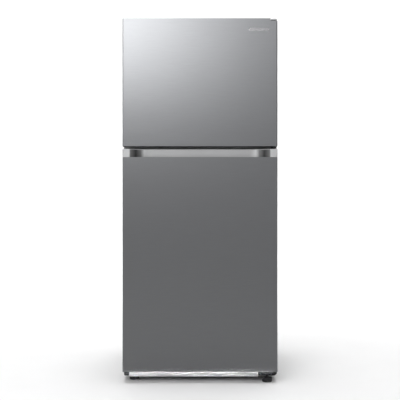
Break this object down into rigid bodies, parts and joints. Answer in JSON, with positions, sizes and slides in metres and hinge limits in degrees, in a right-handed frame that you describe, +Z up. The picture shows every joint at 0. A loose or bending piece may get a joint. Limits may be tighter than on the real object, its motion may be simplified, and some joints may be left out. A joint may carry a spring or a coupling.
{
  "type": "top freezer refrigerator",
  "caption": "Upright refrigerator with a freezer compartment above a fresh-food compartment, behind two right-hinged doors in brushed steel.",
  "frame": {"origin": "on the floor, in the middle of the footprint", "axes": "+Z up, the doors face -Y, +X is to the right of someone facing the doors"},
  "size_m": [0.73, 0.74, 1.717],
  "materials": {
    "case_paint": "satin silver-grey paint on steel sheet",
    "galvanised": "zinc-coated steel",
    "white_liner": "satin vacuum-formed sheet",
    "foam": "rigid polyurethane foam",
    "grey_trim": "satin moulded plastic",
    "glass": "clear tempered glass",
    "clear_plastic": "clear moulded plastic",
    "lens": "frosted lens",
    "coil_aluminium": "bare tube and fins",
    "black_plastic": "satin moulded plastic",
    "black_steel": "black enamel",
    "rubber": "moulded rubber",
    "copper": "drawn copper",
    "silver_plastic": "metallic silver paint",
    "door_steel": "fine brushed",
    "dark_cap": "satin moulded plastic",
    "nylon": "self-lubricating nylon",
    "gasket": "soft magnetic seal",
    "badge_metal": "brushed plate"
  },
  "bodies": {
    "cabinet": {"outer_case": "case_paint", "back_panel": "case_paint", "mullion_cover": "case_paint", "bottom_bulkhead": "galvanised", "fridge_liner": "white_liner", "freezer_liner": "white_liner", "foam_insulation": "foam", "shelf_frames": "grey_trim", "crisper_cover_frame": "grey_trim", "shelf_glass": "glass", "evaporator_cover": "white_liner", "evaporator_coil": "coil_aluminium", "evaporator_fan_motor": "galvanised", "air_duct": "white_liner", "control_housing": "white_liner", "lamp_lenses": "lens", "base_frame": "galvanised", "compressor": "black_steel", "compressor_mounts": "rubber", "condenser_coil": "black_steel", "condenser_fan_shroud": "black_plastic", "refrigerant_lines": "copper", "drain_pan": "black_plastic", "rear_cover": "galvanised", "cord_gland": "black_plastic", "top_hinge": "black_steel", "top_hinge_cover": "grey_trim", "middle_hinge": "black_steel", "bottom_hinge": "black_steel", "foot_bracket_left": "black_plastic", "toe_strip": "silver_plastic", "screws": "galvanised"},
    "freezer_door": {"freezer_door_skin": "door_steel", "freezer_door_caps": "dark_cap", "freezer_hinge_bushes": "nylon", "freezer_door_foam": "foam", "freezer_door_liner": "white_liner", "freezer_door_gasket": "gasket", "freezer_bin_lower": "clear_plastic", "freezer_bin_upper": "clear_plastic", "badge": "badge_metal"},
    "fridge_door": {"fridge_door_skin": "door_steel", "fridge_door_bottom_cap": "dark_cap", "grip_trim": "silver_plastic", "fridge_hinge_bushes": "nylon", "fridge_door_foam": "foam", "fridge_door_liner": "white_liner", "fridge_door_gasket": "gasket", "fridge_door_bins": "clear_plastic"},
    "dairy_lid": {"dairy_lid": "clear_plastic"},
    "crisper_left": {"crisper_left": "clear_plastic"},
    "crisper_right": {"crisper_right": "clear_plastic"},
    "fridge_dial": {"fridge_dial": "white_liner"},
    "freezer_dial": {"freezer_dial": "white_liner"},
    "evaporator_fan": {"evaporator_fan": "black_plastic"},
    "condenser_fan": {"condenser_fan": "black_plastic"},
    "front_foot_left": {"front_foot_left": "black_plastic"},
    "front_foot_right": {"front_foot_right": "black_plastic"},
    "rear_roller_left": {"rear_roller_left": "nylon"},
    "rear_roller_right": {"rear_roller_right": "nylon"}
  },
  "joints": [
    {"name": "freezer_door_swing", "type": "hinge", "parent": "cabinet", "child": "freezer_door", "pos_m": [0.35, -0.3488, 0], "axis": [0, 0, 1], "range_deg": [0, 125]},
    {"name": "fridge_door_swing", "type": "hinge", "parent": "cabinet", "child": "fridge_door", "pos_m": [0.35, -0.3488, 0], "axis": [0, 0, 1], "range_deg": [0, 125]},
    {"name": "crisper_left_slide", "type": "slide", "parent": "cabinet", "child": "crisper_left", "axis": [0, -1, 0], "range_m": [0, 0.24]},
    {"name": "crisper_right_slide", "type": "slide", "parent": "cabinet", "child": "crisper_right", "axis": [0, -1, 0], "range_m": [0, 0.24]},
    {"name": "dairy_lid_flip", "type": "hinge", "parent": "fridge_door", "child": "dairy_lid", "pos_m": [-0.1565, -0.3018, 0.924], "axis": [1, 0, 0], "range_deg": [0, 85]},
    {"name": "fridge_dial_turn", "type": "hinge", "parent": "cabinet", "child": "fridge_dial", "pos_m": [-0.11, -0.1868, 1.04], "axis": [0, 1, 0], "range_deg": [-135, 135]},
    {"name": "freezer_dial_turn", "type": "hinge", "parent": "cabinet", "child": "freezer_dial", "pos_m": [0.11, -0.1868, 1.04], "axis": [0, 1, 0], "range_deg": [-135, 135]},
    {"name": "evaporator_fan_spin", "type": "hinge", "parent": "cabinet", "child": "evaporator_fan", "pos_m": [0, 0.2388, 1.555], "axis": [0, 1, 0], "continuous": true},
    {"name": "condenser_fan_spin", "type": "hinge", "parent": "cabinet", "child": "condenser_fan", "pos_m": [0.1925, 0.2128, 0.156], "axis": [0, 1, 0], "continuous": true},
    {"name": "front_foot_left_turn", "type": "hinge", "parent": "cabinet", "child": "front_foot_left", "pos_m": [-0.316, -0.2758, 0.02], "axis": [0, 0, 1], "continuous": true},
    {"name": "front_foot_right_turn", "type": "hinge", "parent": "cabinet", "child": "front_foot_right", "pos_m": [0.319, -0.3288, 0.02], "axis": [0, 0, 1], "continuous": true},
    {"name": "rear_roller_left_roll", "type": "hinge", "parent": "cabinet", "child": "rear_roller_left", "pos_m": [-0.307, 0.2978, 0.02], "axis": [1, 0, 0], "continuous": true},
    {"name": "rear_roller_right_roll", "type": "hinge", "parent": "cabinet", "child": "rear_roller_right", "pos_m": [0.307, 0.2978, 0.02], "axis": [1, 0, 0], "continuous": true}
  ],
  "couplings": [
    {"joint": "crisper_left_slide", "follows": "fridge_door_swing", "m_per_rad": 0.11},
    {"joint": "crisper_right_slide", "follows": "fridge_door_swing", "m_per_rad": 0.11}
  ]
}
